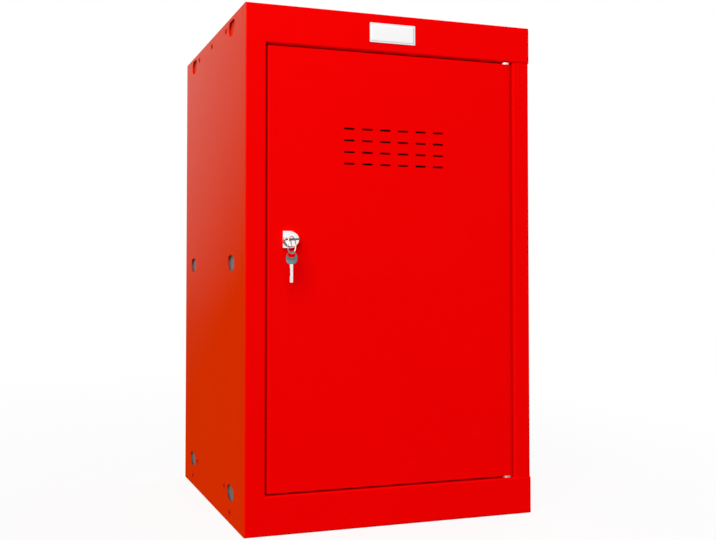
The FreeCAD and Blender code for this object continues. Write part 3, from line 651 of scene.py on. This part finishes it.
def report(piece: bpy.types.Object) -> None:
    """Log one finished piece with its finish."""
    LOG.info("%s: %s", piece.name, piece.material_slots[0].material.name)


@dataclass
class Dressing:
    """A sub-assembly of the part whose nodes keep their shape and get a finish each."""

    nodes: dict[str, bpy.types.Object]

    def finishes(self) -> dict[Finish, tuple[str, ...]]:
        """The nodes that each finish is for, which every sub-assembly names."""
        raise NotImplementedError

    def dress(self) -> list[bpy.types.Object]:
        """Put each node's finish on it.

        Returns:
            The dressed nodes.
        """
        dressed = []
        for finish, names in self.finishes().items():
            for name in names:
                finish.dress(self.nodes[name])
                dressed.append(self.nodes[name])
        return dressed


@dataclass
class Cabinet(Dressing):
    """Frame, walls, pans, pivots and badge."""

    border: float = 1.4 * MM
    recess: float = 0.3 * MM
    face_gap: float = 0.06 * MM
    face_rise: float = 0.22 * MM
    face_crown: float = 0.16 * MM
    crown_power: int = 8
    columns: int = 28
    rows: int = 14

    def finishes(self) -> dict[Finish, tuple[str, ...]]:
        """The cabinet's finishes.

        Returns:
            The names of the nodes that each finish is for.
        """
        return {
            RED: ("base_pan", "back_panel"),
            # Outward faces of these take the painted-light side copy of the red paint.
            FRAME_RED: ("front_frame", "hinge_post", "roof_pan"),
            # Painted light: the side panels take the side copy of the red paint.
            SIDE_RED_PAINTED_LIGHT: ("left_side_panel", "right_side_panel"),
            ZINC: ("upper_hinge_plate", "lower_hinge_plate", "upper_pivot_pin", "lower_pivot_pin",
                   "upper_pivot_washer", "lower_pivot_washer"),
            GREY: ("left_slot_plates", "right_slot_plates"),
            SILVER: ("badge_plate",),
        }

    def _rim(self) -> list[int]:
        """The points along the edge of the badge face's grid, once round.

        Returns:
            Their numbers.
        """
        across = self.columns + 1
        bottom = list(range(self.columns))
        right = [row * across + self.columns for row in range(self.rows)]
        top = [self.rows * across + column for column in range(self.columns, 0, -1)]
        left = [row * across for row in range(self.rows, 0, -1)]
        return bottom + right + top + left

    def badge_face(self) -> bpy.types.Object:
        """White crowned face in the badge's recess.

        Returns:
            The face, riding on the cabinet.
        """
        low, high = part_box("badge_plate")
        inset = self.border + self.face_gap
        half_width = (high.x - low.x) / 2 - inset
        half_height = (high.z - low.z) / 2 - inset
        middle = (low + high) / 2
        floor = low.y + self.recess
        points = []
        for row in range(self.rows + 1):
            v = 2 * row / self.rows - 1
            for column in range(self.columns + 1):
                u = 2 * column / self.columns - 1
                crown = (1 - u ** self.crown_power) * (1 - v ** self.crown_power)
                rise = self.face_rise + self.face_crown * crown
                points.append((middle.x + u * half_width, floor - rise, middle.z + v * half_height))
        faces = wall_faces(self.rows + 1, self.columns + 1, False)
        rim = self._rim()
        start, count = len(points), len(rim)
        points += [(points[corner][0], floor, points[corner][2]) for corner in rim]
        for index in range(count):
            after = (index + 1) % count
            faces.append((rim[index], start + index, start + after, rim[after]))
        faces.append(tuple(range(start, start + count)))
        face = add_mesh("badge_face", points, faces)
        ENAMEL.dress(face)
        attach(face, Body.CABINET.value)
        return face


@dataclass
class RivetRow:
    """Domed heads of a row of blind rivets, each with the hollow that its snapped stem leaves.

    A row stands in place of its node's plain heads. A row with a name in added is a new one instead: it is
    lifted above those heads and spaced between the ends of another node.
    """

    node: str
    count: int
    side: Side
    added: str = ""
    ends: str = ""
    lift: float = 0.0
    sides: int = 36
    dome_steps: int = 8
    rim_share: float = 0.2
    dome_turn: float = math.radians(66.0)
    hollow: float = 0.85 * MM
    hollow_slope: float = 0.12 * MM
    hollow_depth: float = 0.6 * MM

    def _profile(self, radius: float, rise: float) -> list[tuple[float, float]]:
        """Radius and height of a head's rings, from the wall to the hollow's floor.

        Args:
            radius: The head's radius.
            rise: The head's height.

        Returns:
            The rings.
        """
        rim = rise * self.rim_share
        rings = [(radius, 0.0)]
        for step in range(self.dome_steps + 1):
            turn = self.dome_turn * step / self.dome_steps
            climb = math.sin(turn) / math.sin(self.dome_turn)
            rings.append((radius * math.cos(turn), rim + (rise - rim) * climb))
        rings.append((self.hollow, rise))
        rings.append((self.hollow - self.hollow_slope, rise - self.hollow_depth))
        return rings

    def build(self) -> bpy.types.Object:
        """Make the row's heads.

        Returns:
            The heads, riding on the cabinet.
        """
        low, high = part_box(self.node)
        first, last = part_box(self.ends or self.node)
        radius = (high.z - low.z) / 2
        level = (low.z + high.z) / 2 + self.lift
        wall = low.x if self.side is Side.RIGHT else high.x
        rings = self._profile(radius, high.x - low.x)
        pitch = (last.y - first.y - 2 * radius) / (self.count - 1)
        points: list[Point] = []
        faces: list[tuple[int, ...]] = []
        for index in range(self.count):
            start = len(points)
            middle = first.y + radius + index * pitch
            for reach, rise in rings:
                for side in range(self.sides):
                    turn = FULL_TURN * side / self.sides
                    points.append((wall + self.side.value * rise, middle + reach * math.cos(turn),
                                   level + reach * math.sin(turn)))
            walls = wall_faces(len(rings), self.sides, True)
            faces += [tuple(start + corner for corner in face) for face in walls]
            bottom = start + (len(rings) - 1) * self.sides
            faces.append(tuple(range(start, start + self.sides)))
            faces.append(tuple(range(bottom, bottom + self.sides)))
        heads = add_mesh(self.added or self.node + "_domed", points, faces)
        # The heads' darker red is painted shade.
        SHADED_RIVET_RED.dress(heads)
        if not self.added:
            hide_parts(self.node)
        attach(heads, Body.CABINET.value)
        return heads


def rivet_rows() -> list[RivetRow]:
    """The rows of rivets on both sides: under the roof, along the base, and above those of the base.

    Returns:
        The rows.
    """
    rows = []
    for side in Side:
        word = side.name.lower()
        roof, base = f"{word}_roof_rivets", f"{word}_base_rivets"
        rows.append(RivetRow(roof, ROOF_RIVETS, side))
        rows.append(RivetRow(base, BASE_RIVETS, side))
        rows.append(RivetRow(base, BASE_RIVETS, side, f"{word}_sill_rivets", roof, SILL_RIVET_RISE))
    return rows


@dataclass
class Door(Dressing):
    """Door pan, its stiffener and pivot brackets."""

    def finishes(self) -> dict[Finish, tuple[str, ...]]:
        """The nodes of the door that each finish is for."""
        return {RED: ("door_skin", "door_stiffener"), ZINC: ("upper_pivot_bracket", "lower_pivot_bracket")}


@dataclass
class CamLock(Dressing):
    """Cam lock and the blades of the two keys."""

    def finishes(self) -> dict[Finish, tuple[str, ...]]:
        """The nodes of the lock that each finish is for."""
        return {CHROME: ("lock_housing", "lock_plug"), ZINC: ("lock_nut", "lock_cam", "cam_screw"),
                NICKEL: ("key_blade", "spare_key_blade")}


@dataclass
class KeyBow:
    """Moulded key bow with rounded edges, and raised borders round its face and its ring slot.

    Along points from the ring slot to the blade, and facing stands square on the bow's flat.
    """

    node: str
    body: Body
    along: Vector
    facing: Vector
    radius: float = 7.2 * MM
    corner: float = 5.2 * MM
    half_thick: float = 0.9 * MM
    slot_end: float = 4.4 * MM
    slot_half_width: float = 5.2 * MM
    slot_half_height: float = 2.6 * MM
    edge: float = 0.35 * MM
    border: float = 0.7 * MM
    slot_border: float = 0.5 * MM
    slope: float = 0.2 * MM
    panel_drop: float = 0.22 * MM
    edge_steps: int = 4
    arc_steps: int = 28

    def _outline(self, length: float) -> list[Vector]:
        """The bow's edge, seen flat with the slot's middle at the origin.

        Args:
            length: The bow's length.

        Returns:
            Points across and along the bow.
        """
        root = length - self.slot_end
        inner = self.radius - self.corner
        # Each arc: its middle across and along, its radius, its first and last angle, and its steps.
        arcs = [(0.0, self.radius - self.slot_end, self.radius, HALF_TURN, FULL_TURN, 2 * self.arc_steps),
                (inner, root - self.corner, self.corner, 0.0, QUARTER_TURN, self.arc_steps),
                (-inner, root - self.corner, self.corner, QUARTER_TURN, HALF_TURN, self.arc_steps)]
        points = []
        for u, v, radius, first, last, steps in arcs:
            for step in range(steps + 1):
                turn = first + (last - first) * step / steps
                points.append(Vector((u + radius * math.cos(turn), v + radius * math.sin(turn))))
        return points

    def _slot_reach(self, way: Vector) -> float:
        """Distance from the slot's middle to its edge.

        Args:
            way: Unit direction across and along the bow.

        Returns:
            The distance.
        """
        straight = self.slot_half_width - self.slot_half_height
        across, up = abs(way.x), abs(way.y)
        if across * self.slot_half_height <= straight * up:
            return self.slot_half_height / up
        return straight * across + math.sqrt(self.slot_half_height ** 2 - (straight * up) ** 2)

    def _section(self, outer: Vector, inner: Vector) -> list[tuple[Vector, float]]:
        """The loop of points round the plastic between the bow's edge and the slot.

        Args:
            outer: A point on the bow's edge.
            inner: The point on the slot's edge that faces it.

        Returns:
            Places seen flat, and heights.
        """
        inwards = (inner - outer).normalized()
        top = self.half_thick
        panel = top - self.panel_drop
        rounding = []
        for step in range(self.edge_steps + 1):
            turn = QUARTER_TURN * step / self.edge_steps
            rounding.append((self.edge * (1 - math.cos(turn)), top - self.edge * (1 - math.sin(turn))))
        face = rounding + [(self.border, top), (self.border + self.slope, panel)]
        upper = [(outer + inwards * reach, height) for reach, height in face]
        face = rounding + [(self.slot_border, top), (self.slot_border + self.slope, panel)]
        upper += [(inner - inwards * reach, height) for reach, height in reversed(face)]
        return upper + [(place, -height) for place, height in reversed(upper)]

    def build(self) -> bpy.types.Object:
        """Make the bow where the plain one is.

        Returns:
            The bow, riding on its key.
        """
        low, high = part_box(self.node)
        length = abs((high - low).dot(self.along))
        middle = (low + high) / 2 + self.along * (self.slot_end - length / 2)
        across = self.along.cross(self.facing)
        points = []
        outline = self._outline(length)
        for outer in outline:
            way = outer.normalized()
            section = self._section(outer, way * self._slot_reach(way))
            for place, height in section:
                points.append(tuple(middle + across * place.x + self.along * place.y + self.facing * height))
        faces = wall_faces(len(outline), len(section), True, True)
        bow = add_mesh(self.node + "_moulded", points, faces)
        GRIP.dress(bow)
        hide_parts(self.node)
        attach(bow, self.body.value)
        return bow


@dataclass
class SplitRing:
    """Two-turn ring of flattened wire in place of the plain ring."""

    plain_wire: float = 0.6 * MM
    wire_radial: float = 0.58 * MM
    wire_axial: float = 0.29 * MM
    squareness: float = 0.6
    turns: float = 1.93
    path_steps: int = 220
    section_steps: int = 12

    def _sideways(self, share: float) -> float:
        """Which side of the ring the wire is on, with one smooth step between its two turns.

        Args:
            share: How far along the wire, from 0 to 1.

        Returns:
            -1 on the first turn and 1 on the second.
        """
        half_step = (2.0 - self.turns) / (2.0 * self.turns)
        climb = min(max((share - 0.5 + half_step) / (2.0 * half_step), 0.0), 1.0)
        return 2.0 * climb * climb * (3.0 - 2.0 * climb) - 1.0

    def _squared(self, value: float) -> float:
        """A sine or cosine pushed outwards, so that a round section becomes a rounded square."""
        return math.copysign(abs(value) ** self.squareness, value)

    def build(self) -> bpy.types.Object:
        """Sweep the wire round its two turns.

        Returns:
            The ring, riding on the ring body.
        """
        low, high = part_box("key_ring")
        middle = (low + high) / 2
        radius = (high.z - low.z) / 2 - self.plain_wire
        across_x = (high.x - low.x) / 2 - self.plain_wire
        across_y = (high.y - low.y) / 2 - self.plain_wire
        along = Vector((-across_x, -across_y, 0.0)).normalized()
        across = along.cross(UP)
        points = []
        for step in range(self.path_steps + 1):
            share = step / self.path_steps
            angle = share * self.turns * FULL_TURN
            outwards = along * math.cos(angle) + UP * math.sin(angle)
            shift = self._sideways(share) * self.wire_axial
            for corner in range(self.section_steps):
                turn = corner / self.section_steps * FULL_TURN
                point = middle + outwards * (radius + self.wire_radial * self._squared(math.cos(turn)))
                point += across * (shift + self.wire_axial * self._squared(math.sin(turn)))
                points.append(tuple(point))
        faces = wall_faces(self.path_steps + 1, self.section_steps, True)
        last = self.path_steps * self.section_steps
        faces.append(tuple(range(self.section_steps - 1, -1, -1)))
        faces.append(tuple(range(last, last + self.section_steps)))
        ring = add_mesh("split_ring", points, faces)
        RING_STEEL.dress(ring)
        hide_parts("key_ring")
        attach(ring, Body.RING.value)
        return ring


@dataclass
class Studio:
    """Floor, light and background, with the sun's angles in degrees and the lamps' power in watts."""

    floor_half: float = 14.0
    floor_drop: float = 0.4 * MM
    ambient: float = 0.52
    sun_strength: float = 1.3
    sun_turn: float = -32.0
    sun_height: float = 22.0
    sun_spread: float = 40.0
    lamp_size: float = 1.0
    key_power: float = 8.0
    key_place: Point = (-0.6, -1.1, 1.5)
    fill_power: float = 10.0
    fill_place: Point = (1.6, 0.9, 1.1)
    aim: Point = (0.0, 0.0, 0.45)

    def floor(self) -> bpy.types.Object:
        """Wide pale floor under the locker.

        Returns:
            The floor.
        """
        reach, level = self.floor_half, -self.floor_drop
        corners = [(-reach, -reach, level), (reach, -reach, level), (reach, reach, level),
                   (-reach, reach, level)]
        floor = add_mesh("studio_floor", corners, [(0, 1, 2, 3)], solid=False)
        FLOOR.dress(floor)
        return floor

    def lamps(self) -> None:
        """A broad sun from the front left, a soft lamp high in front and another behind on the right."""
        sun = bpy.data.lights.new("studio_sun", "SUN")
        sun.energy = self.sun_strength
        sun.angle = math.radians(self.sun_spread)
        shine = bpy.data.objects.new("studio_sun", sun)
        shine.rotation_euler = (math.radians(90.0 - self.sun_height), 0.0, math.radians(self.sun_turn))
        bpy.context.scene.collection.objects.link(shine)
        self._soft_lamp("studio_key", self.key_power, self.key_place)
        self._soft_lamp("studio_fill", self.fill_power, self.fill_place)

    def _soft_lamp(self, name: str, power: float, place: Point) -> None:
        """One square lamp that points at the locker.

        Args:
            name: The lamp's name.
            power: Its power in watts.
            place: Where it stands.
        """
        lamp = bpy.data.lights.new(name, "AREA")
        lamp.energy = power
        lamp.size = self.lamp_size
        glow = bpy.data.objects.new(name, lamp)
        glow.location = place
        glow.rotation_euler = (Vector(self.aim) - Vector(place)).to_track_quat("-Z", "Y").to_euler()
        bpy.context.scene.collection.objects.link(glow)

    def background(self) -> None:
        """White surroundings, dimmer as a source of light than they look."""
        world = bpy.data.worlds.new("studio_white")
        world.use_nodes = True
        graph = Graph(world.node_tree)
        seen = graph.ray(Ray.STRAIGHT) | graph.ray(Ray.MIRRORED) | graph.ray(Ray.THROUGH)
        strength = self.ambient + seen * (1.0 - self.ambient)
        sky = graph.node("ShaderNodeBackground", sockets={"Color": WHITE, "Strength": strength})
        graph.node("ShaderNodeOutputWorld", sockets={"Surface": sky})
        bpy.context.scene.world = world


@dataclass
class PhotoCamera:
    """Camera at the photograph's place, to the left of the locker's middle.

    Turn and tilt are in degrees, lens and sensor in millimetres, and the shift is a share of the width.
    """

    left: float = 469.5 * MM
    before_front: float = 1162.1 * MM
    height: float = 309.3 * MM
    turn: float = 19.89
    tilt: float = 1.72
    lens: float = 50.13
    sensor: float = 36.0
    upward_shift: float = -0.0322

    def place(self) -> bpy.types.Object:
        """Make the scene's camera.

        Returns:
            The camera.
        """
        low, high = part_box("front_frame")
        data = bpy.data.cameras.new("photo_camera")
        data.sensor_fit = "HORIZONTAL"
        data.sensor_width = self.sensor
        data.lens = self.lens
        data.shift_y = self.upward_shift
        camera = bpy.data.objects.new("photo_camera", data)
        camera.location = ((low.x + high.x) / 2 - self.left, low.y - self.before_front, low.z + self.height)
        camera.rotation_euler = (math.radians(90.0 + self.tilt), 0.0, math.radians(-self.turn))
        bpy.context.scene.collection.objects.link(camera)
        bpy.context.scene.camera = camera
        return camera


def main() -> None:
    """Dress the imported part, add what only the looks need, and set up the studio."""
    logging.basicConfig(level=logging.INFO, format="%(message)s")
    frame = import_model()
    nodes = frame["nodes"]
    cabinet = Cabinet(nodes)
    for assembly in (cabinet, Door(nodes), CamLock(nodes)):
        for piece in assembly.dress():
            report(piece)
    report(cabinet.badge_face())
    for row in rivet_rows():
        report(row.build())
    joints = {joint["name"]: joint for joint in frame["record"]["behaviour"]["joints"]}
    swing = Vector(joints["spare_key_swing"]["axis"]).normalized()
    report(KeyBow("key_bow", Body.KEY, INTO_LOCKER, UP).build())
    report(KeyBow("spare_key_bow", Body.SPARE_KEY, -UP, swing).build())
    report(SplitRing().build())
    studio = Studio()
    report(studio.floor())
    studio.lamps()
    studio.background()
    PhotoCamera().place()
    bpy.context.scene.view_settings.view_transform = "Standard"


if __name__ == "__main__":
    main()
